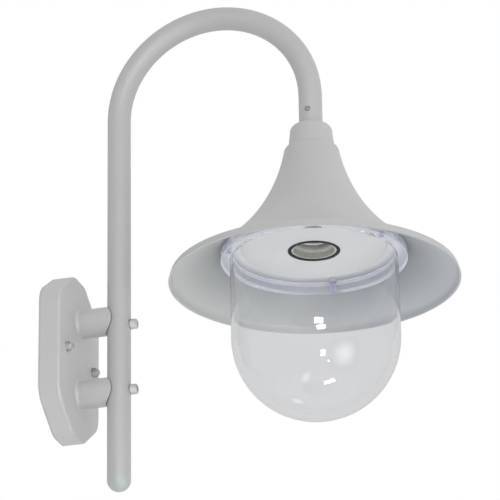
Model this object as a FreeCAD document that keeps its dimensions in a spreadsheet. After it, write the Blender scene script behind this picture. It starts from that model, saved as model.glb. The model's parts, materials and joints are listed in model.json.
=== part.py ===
import FreeCAD, Part
import math
import os
import Sketcher
from types import SimpleNamespace

# Outdoor wall lamp: a cast wall plate with two stubs, a tube bent to a crook, and a flared shade
# with a clear dome hanging from its end. +Z is up, the wall is the plane Y = 0, the lamp stands
# out towards -Y, and the origin is the middle of the plate on the wall.

# Every driving dimension, in millimetres.
SIZES = {
    # wall plate casting
    "plate_width": 100.0,
    "plate_height": 138.6,
    "plate_slant_width": 37.0,
    "plate_slant_height": 24.3,
    "plate_depth": 16.7,
    "plate_wall": 2.5,
    "plate_corner_radius": 19.0,
    "plate_edge_radius": 2.2,
    "gasket_thickness": 1.5,
    "gasket_width": 6.0,
    # stubs that carry the tube
    "stub_diameter": 24.0,
    "stub_spacing": 61.6,
    "stub_root_radius": 3.0,
    "stub_end_gap": 3.6,
    "saddle_gap": 0.05,
    # arm tube
    "tube_diameter": 19.5,
    "tube_wall": 1.5,
    "tube_standoff": 52.0,
    "bend_radius": 83.3,
    "tube_drop_length": 27.45,
    "tube_tail": 117.0,
    "plug_spigot_length": 12.0,
    "plug_gap": 0.15,
    # arm bolts
    "bolt_diameter": 5.0,
    "bolt_length": 42.0,
    "bolt_head_diameter": 8.5,
    "bolt_head_height": 5.0,
    "bolt_socket_width": 4.0,
    "bolt_socket_depth": 2.6,
    "bolt_hole_gap": 0.25,
    "thread_gap": 0.05,
    "bolt_hole_spare": 2.0,
    "upper_bolt_drop": 4.8,
    "arm_washer_diameter": 8.4,
    "arm_washer_thickness": 0.9,
    # inner flex and its bore through the upper stub
    "flex_diameter": 5.4,
    "flex_bore": 8.4,
    "flex_bore_rise": 5.4,
    "flex_plate_bend": 8.0,
    "flex_tube_bend": 8.0,
    "flex_tail_length": 11.0,
    "lead_diameter": 1.8,
    "lead_pitch": 2.0,
    # bracket on the wall
    "strap_length": 84.0,
    "strap_width": 18.0,
    "strap_thickness": 2.0,
    "wall_slot_spacing": 44.0,
    "wall_slot_width": 5.0,
    "wall_slot_length": 12.0,
    "stud_spacing": 65.2,
    "stud_diameter": 4.0,
    "stud_hole_gap": 0.3,
    "washer_diameter": 8.4,
    "washer_thickness": 0.8,
    "nut_width": 7.0,
    "nut_hex_height": 2.4,
    "nut_dome_diameter": 6.2,
    "stud_reach_in_nut": 3.0,
    # terminal block inside the plate
    "block_drop": 27.0,
    "block_length": 32.0,
    "block_height": 17.0,
    "block_depth": 9.0,
    "block_foot_height": 2.0,
    "block_foot_diameter": 7.0,
    "pole_pitch": 10.0,
    "pole_bore": 5.0,
    "barrel_length": 13.0,
    "barrel_bore": 3.0,
    "barrel_gap": 0.1,
    "pole_screw_diameter": 2.6,
    "pole_screw_offset": 4.0,
    "pole_screw_sink": 0.8,
    "small_screw_diameter": 3.0,
    "small_head_diameter": 5.6,
    "small_head_height": 1.8,
    "slot_width": 0.8,
    "slot_depth": 0.9,
    "front_skin": 0.8,
    # cord clamp
    "clamp_length": 22.0,
    "clamp_width": 6.0,
    "clamp_thickness": 2.0,
    "clamp_screw_spacing": 15.0,
    "clamp_height": 21.5,
    # earth screw
    "earth_out": 27.0,
    "earth_drop": 14.0,
    "earth_boss_height": 3.0,
    "earth_boss_diameter": 6.4,
    "earth_screw_length": 5.0,
    "tag_diameter": 7.0,
    "tag_thickness": 0.8,
    # neck cap
    "cap_height": 20.2,
    "cap_foot_radius": 19.2,
    "cap_waist_radius": 18.0,
    "cap_waist_height": 9.5,
    "cap_top_radius": 17.6,
    "cap_shoulder_radius": 6.5,
    "cap_wall": 2.2,
    "cap_boss_diameter": 18.0,
    "cap_boss_length": 13.0,
    "spigot_length": 21.0,
    "spigot_gap": 0.15,
    "cap_bore": 7.6,
    # neck screw
    "neck_screw_rise": 12.0,
    "neck_screw_diameter": 3.0,
    "neck_screw_head": 5.0,
    "neck_screw_head_height": 1.3,
    "neck_screw_length": 4.2,
    # threaded nipple and its nuts
    "nipple_diameter": 10.0,
    "nipple_bore": 7.4,
    "nipple_tail_length": 0.5,
    "nipple_nut_width": 14.0,
    "nipple_nut_height": 4.0,
    "shade_washer_diameter": 26.0,
    "shade_washer_thickness": 1.2,
    # shade
    "rim_radius": 118.6,
    "rim_height": 44.1,
    "shade_height": 118.2,
    "lip_height": 6.1,
    "lip_taper_width": 1.8,
    "lip_outer_round_radius": 1.5,
    "lip_inner_round_radius": 5.0,
    "shoulder_width": 3.9,
    "shoulder_height": 4.8,
    "shade_wall": 1.6,
    "crown_hole_gap": 0.2,
    "boss_diameter": 7.0,
    "boss_hole_depth": 3.1,
    # clear dome
    "dome_radius": 68.4,
    "dome_wall": 2.0,
    "dome_height": 142.5,
    "flange_width": 7.6,
    "flange_height": 8.0,
    "flange_chamfer": 1.4,
    "flange_clearance": 0.1,
    # dome screws
    "dome_screw_diameter": 3.0,
    "dome_screw_length": 6.8,
    "dome_screw_head": 5.0,
    "dome_screw_head_height": 2.0,
    "dome_screw_hole_gap": 0.4,
    "dome_screw_recess_gap": 0.3,
    "dome_screw_recess_depth": 4.0,
    "cross_width": 0.9,
    "cross_length": 3.2,
    "cross_depth": 1.0,
    # lampholder
    "holder_mouth_radius": 18.5,
    "holder_mouth_bore": 17.0,
    "holder_mouth_depth": 7.0,
    "holder_radius": 21.5,
    "holder_height": 41.7,
    "holder_bore": 15.2,
    "holder_floor": 9.0,
    "holder_edge": 2.0,
    "shell_radius": 13.7,
    "shell_wave_depth": 1.1,
    "shell_wall": 0.4,
    "shell_pitch": 3.6,
    "shell_clearance": 1.6,
    "shell_flange_width": 2.0,
    "ring_rise": 0.4,
    "ring_radius": 21.4,
    "ring_flange_height": 0.5,
    "ring_neck_radius": 20.2,
    "ring_top_radius": 22.5,
    "ring_top_height": 1.1,
    "ring_gap": 0.1,
    "mouth_sink_depth": 0.9,
    "reflector_radius": 59.5,
    "reflector_thickness": 1.0,
    "reflector_edge": 3.0,
    "rivet_diameter": 2.4,
    "rivet_head_diameter": 5.0,
    "rivet_head_height": 1.0,
    "rivet_drop": 5.0,
    "rivet_offset": 7.5,
    "tongue_width": 6.0,
    "tongue_thickness": 0.6,
    "tongue_length": 13.5,
    "tongue_tip_diameter": 5.0,
    "tongue_tip_height": 1.2,
    "tongue_hole_gap": 0.25,
    "tongue_seat_gap": 0.1,
    "terminal_length": 6.0,
    "terminal_width": 7.0,
    "terminal_height": 5.0,
    "terminal_offset": 13.5,
    "terminal_screw_diameter": 2.6,
    "terminal_screw_rise": 0.6,
    # bracket that hangs the lampholder from the nipple
    "bracket_width": 12.0,
    "bracket_thickness": 1.5,
    "bracket_half_span": 13.0,
    "bracket_foot_reach": 20.0,
    "bracket_rise": 11.0,
    "bracket_screw_offset": 16.8,
    "bracket_screw_length": 9.0,
    # one overrun for every cut
    "overrun": 1.0,
}

# Turn of the first dome screw about the lamp's axis, seen from above, and how many there are.
DOME_SCREW_TURN = 2.0
DOME_SCREW_COUNT = 3
# Whole waves in the threaded shell.
SHELL_TURNS = 6
# Width of a screw head's outer face against its full width.
NECK_SCREW_FACE_SHARE = 0.77
DOME_SCREW_FACE_SHARE = 0.72
# Radius of the shade's flare against the straight line between its ends.
FLARE_RADIUS_SHARE = 1.0
# Radius of a stub's rounded end, seen from the side, against the stub's own radius.
EAR_RADIUS_SHARE = 1.08
# Bend radius of a single core against its diameter.
CORE_BEND_SHARE = 1.5

doc = FreeCAD.newDocument("wall_lamp")
sheet = doc.addObject("Spreadsheet::Sheet", "Sizes")


class Dim:
    """A dimension: its value now, and the expression that gives it from the sheet."""

    def __init__(self, value, text):
        self.value = value
        self.text = text

    def __add__(self, other):
        other = as_dim(other)
        return Dim(self.value + other.value, "(%s + %s)" % (self.text, other.text))

    def __sub__(self, other):
        other = as_dim(other)
        return Dim(self.value - other.value, "(%s - %s)" % (self.text, other.text))

    def __mul__(self, other):
        other = as_dim(other)
        return Dim(self.value * other.value, "(%s * %s)" % (self.text, other.text))

    def __truediv__(self, other):
        other = as_dim(other)
        return Dim(self.value / other.value, "(%s / %s)" % (self.text, other.text))

    def __radd__(self, other):
        return as_dim(other) + self

    def __rsub__(self, other):
        return as_dim(other) - self

    def __rmul__(self, other):
        return as_dim(other) * self

    def __neg__(self):
        return Dim(-self.value, "(0 - %s)" % self.text)


def as_dim(number):
    """A plain number, such as a ratio or zero, as a dimension."""
    if isinstance(number, Dim):
        return number
    return Dim(float(number), repr(number))


def root(area):
    """The square root of a product of dimensions."""
    return Dim(math.sqrt(area.value), "sqrt(%s)" % area.text)


ZERO = as_dim(0)


def fill_sheet():
    """Write the sizes to the sheet and return them as dimensions under their names."""
    dims = {}
    for row, (name, value) in enumerate(SIZES.items(), start=1):
        sheet.set("A%d" % row, name)
        sheet.set("B%d" % row, repr(value))
        sheet.setAlias("B%d" % row, name)
        dims[name] = Dim(value, "Sizes." + name)
    doc.recompute()
    return SimpleNamespace(**dims)


mm = fill_sheet()
nodes = []


# Helpers for primitives and booleans

def bind(thing, name, dim):
    thing.setExpression(name, as_dim(dim).text)


def put(thing, at, axis="Z"):
    """Place a primitive at a point, with its own Z axis turned to the named axis."""
    turns = {
        "Z": FreeCAD.Rotation(),
        "-Z": FreeCAD.Rotation(FreeCAD.Vector(1, 0, 0), 180),
        "X": FreeCAD.Rotation(FreeCAD.Vector(0, 1, 0), 90),
        "-X": FreeCAD.Rotation(FreeCAD.Vector(0, 1, 0), -90),
        "-Y": FreeCAD.Rotation(FreeCAD.Vector(1, 0, 0), 90),
        "Y": FreeCAD.Rotation(FreeCAD.Vector(1, 0, 0), -90),
    }
    x, y, z = [as_dim(value) for value in at]
    thing.Placement = FreeCAD.Placement(FreeCAD.Vector(x.value, y.value, z.value), turns[axis])
    bind(thing, "Placement.Base.x", x)
    bind(thing, "Placement.Base.y", y)
    bind(thing, "Placement.Base.z", z)
    return thing


def cylinder(radius, height, at, axis="Z"):
    thing = doc.addObject("Part::Cylinder", "cylinder")
    bind(thing, "Radius", radius)
    bind(thing, "Height", height)
    return put(thing, at, axis)


def cone(radius_from, radius_to, height, at, axis="Z"):
    thing = doc.addObject("Part::Cone", "cone")
    bind(thing, "Radius1", radius_from)
    bind(thing, "Radius2", radius_to)
    bind(thing, "Height", height)
    return put(thing, at, axis)


def hexagon(width, height, at, axis="Z"):
    """A hexagonal prism of the given width across its flats."""
    thing = doc.addObject("Part::Prism", "hexagon")
    thing.Polygon = 6
    bind(thing, "Circumradius", width / math.sqrt(3))
    bind(thing, "Height", height)
    return put(thing, at, axis)


def box(length, width, height, at):
    """A box centred on the given point in X and Y, standing on it in Z."""
    thing = doc.addObject("Part::Box", "box")
    bind(thing, "Length", length)
    bind(thing, "Width", width)
    bind(thing, "Height", height)
    x, y, z = at
    return put(thing, (x - length / 2, y - width / 2, z))


def ball(radius, at):
    thing = doc.addObject("Part::Sphere", "ball")
    bind(thing, "Radius", radius)
    return put(thing, at)


def fuse(*parts):
    thing = doc.addObject("Part::MultiFuse", "joined")
    thing.Shapes = list(parts)
    thing.Refine = True
    return thing


def common(*parts):
    thing = doc.addObject("Part::MultiCommon", "shared")
    thing.Shapes = list(parts)
    return thing


def cut(base, *tools):
    thing = doc.addObject("Part::Cut", "cut")
    thing.Base = base
    thing.Tool = tools[0] if len(tools) == 1 else fuse(*tools)
    return thing


def together(*parts):
    """Separate solids that share one node."""
    thing = doc.addObject("Part::Compound", "set")
    thing.Links = list(parts)
    return thing


def node(name, thing):
    """Name a finished sub-part, which is written to its own file."""
    thing.Label = name
    nodes.append(thing)
    return thing


# Helpers for bodies and sketches

def new_body(at=(ZERO, ZERO, ZERO)):
    body = doc.addObject("PartDesign::Body", "body")
    return put(body, at)


def new_sketch(body, role, rise=ZERO):
    """A sketch on one of the body's own origin planes, raised along the plane's normal."""
    sketch = body.newObject("Sketcher::SketchObject", "sketch")
    plane = [feature for feature in body.Origin.OriginFeatures if feature.Role == role][0]
    sketch.AttachmentSupport = [(plane, "")]
    sketch.MapMode = "FlatFace"
    sketch.AttachmentOffset = FreeCAD.Placement(FreeCAD.Vector(0, 0, rise.value), FreeCAD.Rotation())
    bind(sketch, "AttachmentOffset.Base.z", rise)
    return sketch


def bound(sketch, *constraint, dim):
    """Add a constraint whose datum follows the sheet."""
    index = sketch.addConstraint(Sketcher.Constraint(*constraint, dim.value))
    sketch.setExpression("Constraints[%d]" % index, dim.text)


def arc_between(start, end, radius, side):
    """An arc from start to end, with its centre on the left (side 1) or right (side -1)."""
    chord = end - start
    middle = (start + end) * 0.5
    left = FreeCAD.Vector(-chord.y, chord.x, 0)
    left.normalize()
    away = math.sqrt(max(radius ** 2 - (chord.Length / 2) ** 2, 0.0))
    centre = middle + left * (away * side)
    first, last = (start, end) if side > 0 else (end, start)
    angle_from = math.atan2(first.y - centre.y, first.x - centre.x)
    angle_to = math.atan2(last.y - centre.y, last.x - centre.x)
    circle = Part.Circle(centre, FreeCAD.Vector(0, 0, 1), radius)
    return Part.ArcOfCircle(circle, angle_from, angle_to)


def outline(sketch, points):
    """Draw a closed outline. A point is (across, up) for a line that ends there, or
    (across, up, radius, side) for an arc that ends there."""
    ends = []
    for number, point in enumerate(points):
        before = points[number - 1]
        start = FreeCAD.Vector(before[0].value, before[1].value, 0)
        end = FreeCAD.Vector(point[0].value, point[1].value, 0)
        if len(point) == 4:
            radius, side = point[2], point[3]
            index = sketch.addGeometry(arc_between(start, end, radius.value, side), False)
            ends.append((index, 1, 2) if side > 0 else (index, 2, 1))
        else:
            index = sketch.addGeometry(Part.LineSegment(start, end), False)
            ends.append((index, 1, 2))
    for number, point in enumerate(points):
        index, first, last = ends[number]
        following = ends[(number + 1) % len(points)]
        joint = Sketcher.Constraint("Coincident", index, last, following[0], following[1])
        sketch.addConstraint(joint)
        bound(sketch, "DistanceX", index, last, dim=point[0])
        bound(sketch, "DistanceY", index, last, dim=point[1])
        if len(point) == 4:
            bound(sketch, "Radius", index, dim=point[2])
    return sketch


def rings(sketch, circles):
    """Draw circles, each given as (across, up, radius)."""
    for across, up, radius in circles:
        across, up = as_dim(across), as_dim(up)
        centre = FreeCAD.Vector(across.value, up.value, 0)
        circle = Part.Circle(centre, FreeCAD.Vector(0, 0, 1), radius.value)
        index = sketch.addGeometry(circle, False)
        bound(sketch, "Radius", index, dim=radius)
        bound(sketch, "DistanceX", index, 3, dim=across)
        bound(sketch, "DistanceY", index, 3, dim=up)
    return sketch


def pad(body, sketch, length):
    feature = body.newObject("PartDesign::Pad", "pad")
    feature.Profile = sketch
    bind(feature, "Length", length)
    doc.recompute()
    return feature


def pocket(body, sketch, length, backwards=False, both_ways=False):
    """Cut a sketch against its normal, or along it when backwards is true."""
    volume = body.Shape.Volume
    feature = body.newObject("PartDesign::Pocket", "pocket")
    feature.Profile = sketch
    feature.Reversed = backwards
    feature.Midplane = both_ways
    bind(feature, "Length", length)
    doc.recompute()
    if not body.Shape.Volume < volume:
        raise RuntimeError("a pocket cuts nothing: " + feature.Name)
    return feature


def turn(body, sketch):
    """Revolve a sketch on the XZ plane about the body's Z axis."""
    feature = body.newObject("PartDesign::Revolution", "turned")
    feature.Profile = sketch
    feature.ReferenceAxis = (sketch, ["V_Axis"])
    feature.Angle = 360
    doc.recompute()
    return feature


def round_edges(body, radius, chosen):
    """Fillet the edges of the body's last feature that the test chooses."""
    base = body.Tip
    names = ["Edge%d" % number for number, edge in enumerate(base.Shape.Edges, start=1) if chosen(edge)]
    if not names:
        raise RuntimeError("no edges to round")
    feature = body.newObject("PartDesign::Fillet", "rounded")
    feature.Base = (base, names)
    bind(feature, "Radius", radius)
    doc.recompute()
    return feature


def turned(points, at=(ZERO, ZERO, ZERO)):
    """A body turned from one closed outline in (radius, height)."""
    body = new_body(at)
    turn(body, outline(new_sketch(body, "XZ_Plane"), points))
    return body


def circle_of(edge):
    """The circle that an edge lies on, or None."""
    if edge.Degenerated or edge.Curve.TypeId != "Part::GeomCircle":
        return None
    return edge.Curve


def on_ring(radius):
    """A test for whole circles of one radius."""
    def test(edge):
        circle = circle_of(edge)
        return bool(circle) and near(circle.Radius, radius)
    return test


def near(value, dim):
    """True where a measured value is a dimension's value, to the size of a rounding error."""
    return abs(value - dim.value) < dim_tolerance


dim_tolerance = SIZES["overrun"] / 1000

# Places that several pieces share
tube_radius = mm.tube_diameter / 2
tube_inner = tube_radius - mm.tube_wall
plate_front = mm.gasket_thickness + mm.plate_depth
plate_inside = plate_front - mm.plate_wall
stub_radius = mm.stub_diameter / 2
stub_rise = mm.stub_spacing / 2
head_reach = mm.tube_standoff + mm.bend_radius * 2
cap_foot = mm.rim_height + mm.shade_height
cap_top = cap_foot + mm.cap_height
bend_centre = cap_top + mm.tube_drop_length
flex_height = stub_rise + mm.flex_bore_rise
flex_radius = mm.flex_diameter / 2
bolt_heights = (stub_rise - mm.upper_bolt_drop, -stub_rise)
bolt_seat = mm.tube_standoff + tube_radius + mm.arm_washer_thickness
bolt_reach = mm.bolt_length - tube_radius - mm.arm_washer_thickness
head = (ZERO, -head_reach, ZERO)

# Places in the head. The shade's flare is one arc between its top and its turned-down lip.
flare_top_radius = mm.cap_foot_radius + mm.shoulder_width
flare_top = cap_foot - mm.shoulder_height
flare_foot_radius = mm.rim_radius - mm.lip_taper_width
flare_foot = mm.rim_height + mm.lip_height
flare_width = flare_foot_radius - flare_top_radius
flare_height = flare_top - flare_foot
flare_chord = root(flare_width * flare_width + flare_height * flare_height)
flare_radius = flare_chord * FLARE_RADIUS_SHARE
flare_away = root(flare_radius * flare_radius - flare_chord * flare_chord / 4)
flare_centre_out = (flare_foot_radius + flare_top_radius) / 2 + flare_away * flare_height / flare_chord
flare_centre_up = (flare_foot + flare_top) / 2 + flare_away * flare_width / flare_chord
inner_flare_radius = flare_radius + mm.shade_wall


def flare_at(height, radius):
    """How far from the axis the shade's flare is at a height, on an arc of the given radius."""
    up = flare_centre_up - height
    return flare_centre_out - root(radius * radius - up * up)


def flare_height_at(out, radius):
    """The height of the shade's flare at a distance from the axis."""
    across = flare_centre_out - out
    return flare_centre_up - root(radius * radius - across * across)


# The dome's flange seats under the flare, and the lampholder's mouth stands just above it.
flange_radius = mm.dome_radius + mm.flange_width
flange_top = flare_height_at(flange_radius, inner_flare_radius) - mm.flange_clearance
flange_foot = flange_top - mm.flange_height
boss_circle_radius = (mm.dome_radius + flange_radius) / 2
ring_foot = flange_top + mm.ring_rise
reflector_under = ring_foot + mm.ring_flange_height
reflector_top = reflector_under + mm.reflector_thickness
holder_shoulder = reflector_top + mm.ring_top_height
holder_mouth = ring_foot + mm.mouth_sink_depth
holder_top = holder_mouth + mm.holder_height
floor = holder_top - mm.holder_floor
mouth_step = holder_mouth + mm.holder_mouth_depth
bracket_top = holder_top + mm.bracket_rise + mm.bracket_thickness
nipple_foot = bracket_top - mm.bracket_thickness - mm.nipple_nut_height - mm.nipple_tail_length


# Wall plate

def octagon(inset):
    """The plate's outline, drawn in by an even inset."""
    across, up = mm.plate_slant_width, mm.plate_slant_height
    slant = root(across * across + up * up)
    wide = mm.plate_width / 2 - inset
    tall = mm.plate_height / 2 - inset
    flat = mm.plate_width / 2 - across - inset * (slant - across) / up
    side = mm.plate_height / 2 - up - inset * (slant - up) / across
    corners = [(flat, tall), (wide, side), (wide, -side), (flat, -tall)]
    return [*corners, *[(-across, up) for across, up in reversed(corners)]]


def on_level(level):
    """A test for edges that lie at one depth from the wall."""
    def test(edge):
        return all(near(-vertex.Y, level) for vertex in edge.Vertexes)
    return test


def runs_out(edge):
    """A test for straight edges square to the wall."""
    if edge.Curve.TypeId != "Part::GeomLine":
        return False
    return abs(edge.Curve.Direction.y) > 0.99


def cavity_corner(edge):
    return runs_out(edge) and any(near(-vertex.Y, plate_inside) for vertex in edge.Vertexes)


def stub_root(edge):
    circle = circle_of(edge)
    return bool(circle) and near(circle.Radius, stub_radius) and near(-circle.Center.y, plate_front)


def cast_feet(body):
    """Raised seats inside the plate, for the terminal block, the cord clamp and the earth."""
    foot_radius = mm.block_foot_diameter / 2
    inside = plate_inside + mm.plate_wall / 2
    seat = plate_inside - mm.flex_plate_bend + flex_radius
    places = [
        ((mm.pole_pitch / 2, -mm.block_drop, foot_radius), mm.block_foot_height),
        ((-mm.pole_pitch / 2, -mm.block_drop, foot_radius), mm.block_foot_height),
        ((mm.earth_out, -mm.earth_drop, mm.earth_boss_diameter / 2), mm.earth_boss_height),
    ]
    for circle, height in places:
        level = plate_inside - height
        pad(body, rings(new_sketch(body, "XZ_Plane", level), [circle]), inside - level)
    half_length, half_width = mm.clamp_length / 2, mm.clamp_width / 2
    low, high = mm.clamp_height - half_width, mm.clamp_height + half_width
    corners = [(half_length, low), (half_length, high), (-half_length, high), (-half_length, low)]
    pad(body, outline(new_sketch(body, "XZ_Plane", seat), corners), inside - seat)


def round_ears(body):
    """Round the end of each stub as seen from the side, so that its two ears hold the tube."""
    tip = mm.stub_end_gap - mm.tube_standoff
    radius = stub_radius * EAR_RADIUS_SHARE
    half = (stub_radius + radius) / 2
    foot = tip + radius - root(radius * radius - half * half)
    beyond = tip - mm.overrun
    sketch = new_sketch(body, "YZ_Plane")
    for middle in (stub_rise, -stub_rise):
        outline(sketch, [
            (beyond, middle - half),
            (foot, middle - half),
            (tip, middle, radius, -1),
            (foot, middle + half, radius, -1),
            (beyond, middle + half),
        ])
    pocket(body, sketch, mm.stub_diameter + mm.overrun, both_ways=True)


def make_wall_plate():
    body = new_body()
    back = mm.gasket_thickness
    pad(body, outline(new_sketch(body, "XZ_Plane", back), octagon(ZERO)), mm.plate_depth)
    round_edges(body, mm.plate_corner_radius, runs_out)
    round_edges(body, mm.plate_edge_radius, on_level(plate_front))
    cavity = outline(new_sketch(body, "XZ_Plane", back), octagon(mm.plate_wall))
    pocket(body, cavity, mm.plate_depth - mm.plate_wall, backwards=True)
    round_edges(body, mm.plate_corner_radius - mm.plate_wall, cavity_corner)
    stub_base = plate_inside + mm.plate_wall / 2
    stubs = rings(new_sketch(body, "XZ_Plane", stub_base),
                  [(ZERO, stub_rise, stub_radius), (ZERO, -stub_rise, stub_radius)])
    pad(body, stubs, mm.tube_standoff - mm.stub_end_gap - stub_base)
    round_edges(body, mm.stub_root_radius, stub_root)
    round_ears(body)
    cast_feet(body)
    saddle = rings(new_sketch(body, "XY_Plane"), [(ZERO, -mm.tube_standoff, tube_radius + mm.saddle_gap)])
    pocket(body, saddle, mm.plate_height, both_ways=True)
    through = rings(new_sketch(body, "XZ_Plane", mm.tube_standoff), [
        (ZERO, flex_height, mm.flex_bore / 2),
        (mm.stud_spacing / 2, ZERO, (mm.stud_diameter + mm.stud_hole_gap) / 2),
        (-mm.stud_spacing / 2, ZERO, (mm.stud_diameter + mm.stud_hole_gap) / 2),
    ])
    pocket(body, through, mm.tube_standoff - back)
    bolt_hole = (mm.bolt_diameter + mm.thread_gap) / 2
    threads = rings(new_sketch(body, "XZ_Plane", mm.tube_standoff),
                    [(ZERO, height, bolt_hole) for height in bolt_heights])
    pocket(body, threads, bolt_reach + mm.bolt_hole_spare)
    small_hole = (mm.small_screw_diameter + mm.thread_gap) / 2
    seats = rings(new_sketch(body, "XZ_Plane", ZERO), [
        (mm.pole_pitch / 2, -mm.block_drop, small_hole),
        (-mm.pole_pitch / 2, -mm.block_drop, small_hole),
        (mm.earth_out, -mm.earth_drop, small_hole),
        (mm.clamp_screw_spacing / 2, mm.clamp_height, small_hole),
        (-mm.clamp_screw_spacing / 2, mm.clamp_height, small_hole),
    ])
    pocket(body, seats, plate_front - mm.front_skin, backwards=True)
    return node("wall_plate", body)


def make_wall_gasket():
    body = new_body()
    pad(body, outline(new_sketch(body, "XZ_Plane"), octagon(ZERO)), mm.gasket_thickness)
    round_edges(body, mm.plate_corner_radius, runs_out)
    inside = outline(new_sketch(body, "XZ_Plane"), octagon(mm.gasket_width))
    pocket(body, inside, mm.gasket_thickness, backwards=True)
    return node("wall_gasket", body)


# Bracket on the wall, its studs and the nuts that hold the plate

def slot_cutter(across):
    """A slot along X for a wall screw."""
    reach = (mm.wall_slot_length - mm.wall_slot_width) / 2
    depth = mm.strap_thickness + mm.overrun * 2
    ends = [cylinder(mm.wall_slot_width / 2, depth, (across + side * reach, mm.overrun, ZERO), "-Y")
            for side in (-1, 1)]
    middle = box(reach * 2, depth, mm.wall_slot_width,
                 (across, mm.overrun - depth / 2, -mm.wall_slot_width / 2))
    return fuse(middle, *ends)


def make_wall_bracket():
    strap = box(mm.strap_length, mm.strap_thickness, mm.strap_width,
                (ZERO, -mm.strap_thickness / 2, -mm.strap_width / 2))
    slots = [slot_cutter(side * mm.wall_slot_spacing / 2) for side in (-1, 1)]
    stud_holes = [cylinder(mm.stud_diameter / 2, mm.strap_thickness + mm.overrun * 2,
                           (side * mm.stud_spacing / 2, mm.overrun, ZERO), "-Y") for side in (-1, 1)]
    node("mounting_strap", cut(strap, *slots, *stud_holes))
    stud_length = plate_front + mm.washer_thickness + mm.stud_reach_in_nut
    studs = [cylinder(mm.stud_diameter / 2, stud_length, (side * mm.stud_spacing / 2, ZERO, ZERO), "-Y")
             for side in (-1, 1)]
    node("strap_studs", together(*studs))


def cap_nut(across):
    """A domed nut on a stud, closed at its outer end."""
    seat = plate_front + mm.washer_thickness
    hexagonal = hexagon(mm.nut_width, mm.nut_hex_height, (across, -seat, ZERO), "-Y")
    dome = ball(mm.nut_dome_diameter / 2, (across, -(seat + mm.nut_hex_height), ZERO))
    bore = cylinder(mm.stud_diameter / 2, mm.stud_reach_in_nut + mm.overrun,
                    (across, -(seat - mm.overrun), ZERO), "-Y")
    behind = box(mm.nut_width * 2, mm.nut_width, mm.nut_width * 2,
                 (across, -(seat - mm.nut_width / 2), -mm.nut_width))
    return cut(fuse(hexagonal, dome), bore, behind)


def make_plate_fixings():
    sides = [side * mm.stud_spacing / 2 for side in (-1, 1)]
    washers = []
    for across in sides:
        disc = cylinder(mm.washer_diameter / 2, mm.washer_thickness, (across, -plate_front, ZERO), "-Y")
        hole = cylinder(mm.stud_diameter / 2, mm.washer_thickness + mm.overrun * 2,
                        (across, -(plate_front - mm.overrun), ZERO), "-Y")
        washers.append(cut(disc, hole))
    node("plate_washers", together(*washers))
    node("cap_nuts", together(*[cap_nut(across) for across in sides]))


# Small slotted screws inside the plate

def slotted_screw(at, head_height, length, axis):
    """A cheese-head screw whose head stands out from its seat, with its slot across X."""
    x, y, z = at
    out = 1 if axis == "Y" else -1
    head_part = cylinder(mm.small_head_diameter / 2, head_height, at, axis)
    shank = cylinder(mm.small_screw_diameter / 2, length, (x, y - out * length, z), axis)
    slot = box(mm.small_head_diameter * 2, mm.slot_depth * 2, mm.slot_width,
               (x, y + out * head_height, z - mm.slot_width / 2))
    return cut(fuse(head_part, shank), slot)


# Terminal block, its barrels and screws, and the cord clamp

block_face = plate_inside - mm.block_foot_height
pole_depth = block_face - mm.block_depth / 2
pole_places = [-mm.pole_pitch, ZERO, mm.pole_pitch]
barrel_top = mm.barrel_length / 2 - mm.block_drop
block_top = mm.block_height / 2 - mm.block_drop


def pole_screw_places():
    for across in pole_places:
        for side in (-1, 1):
            yield across, side * mm.pole_screw_offset - mm.block_drop


def make_terminal_block():
    block = box(mm.block_length, mm.block_depth, mm.block_height,
                (ZERO, -pole_depth, -mm.block_height / 2 - mm.block_drop))
    tools = []
    for across in pole_places:
        tools.append(cylinder(mm.pole_bore / 2, mm.block_height + mm.overrun * 2,
                              (across, -pole_depth, -(mm.block_height / 2 + mm.overrun) - mm.block_drop)))
    access = mm.block_depth / 2 + mm.overrun
    for across, up in pole_screw_places():
        tools.append(cylinder(mm.pole_screw_diameter / 2 + mm.barrel_gap, access,
                              (across, -pole_depth, up), "Y"))
    for side in (-1, 1):
        hole = mm.small_screw_diameter / 2 + mm.barrel_gap
        tools.append(cylinder(hole, mm.block_depth + mm.overrun * 2,
                              (side * mm.pole_pitch / 2, -(block_face + mm.overrun), -mm.block_drop), "Y"))
    node("terminal_block", cut(block, *tools))


def make_terminal_metal():
    barrel_radius = mm.pole_bore / 2 - mm.barrel_gap
    barrels = []
    for across in pole_places:
        tube = cylinder(barrel_radius, mm.barrel_length, (across, -pole_depth, barrel_top - mm.barrel_length))
        bore = cylinder(mm.barrel_bore / 2, mm.barrel_length + mm.overrun * 2,
                        (across, -pole_depth, barrel_top - mm.barrel_length - mm.overrun))
        holes = [cylinder(mm.pole_screw_diameter / 2, barrel_radius + mm.overrun,
                          (across, -pole_depth, side * mm.pole_screw_offset - mm.block_drop), "Y")
                 for side in (-1, 1)]
        barrels.append(cut(tube, bore, *holes))
    node("terminal_barrels", together(*barrels))
    screws = []
    tip = mm.barrel_bore / 2
    length = mm.block_depth / 2 - tip - mm.pole_screw_sink
    for across, up in pole_screw_places():
        body = cylinder(mm.pole_screw_diameter / 2, length, (across, -(pole_depth - tip), up), "Y")
        slot = box(mm.pole_screw_diameter * 2, mm.slot_depth * 2, mm.slot_width,
                   (across, -(pole_depth - tip - length), up - mm.slot_width / 2))
        screws.append(cut(body, slot))
    node("terminal_screws", together(*screws))
    fixing = block_face - mm.block_depth
    length = plate_front - mm.front_skin - fixing - mm.overrun
    node("block_screws", together(*[
        slotted_screw((side * mm.pole_pitch / 2, -fixing, -mm.block_drop), mm.small_head_height, length, "Y")
        for side in (-1, 1)]))


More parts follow.
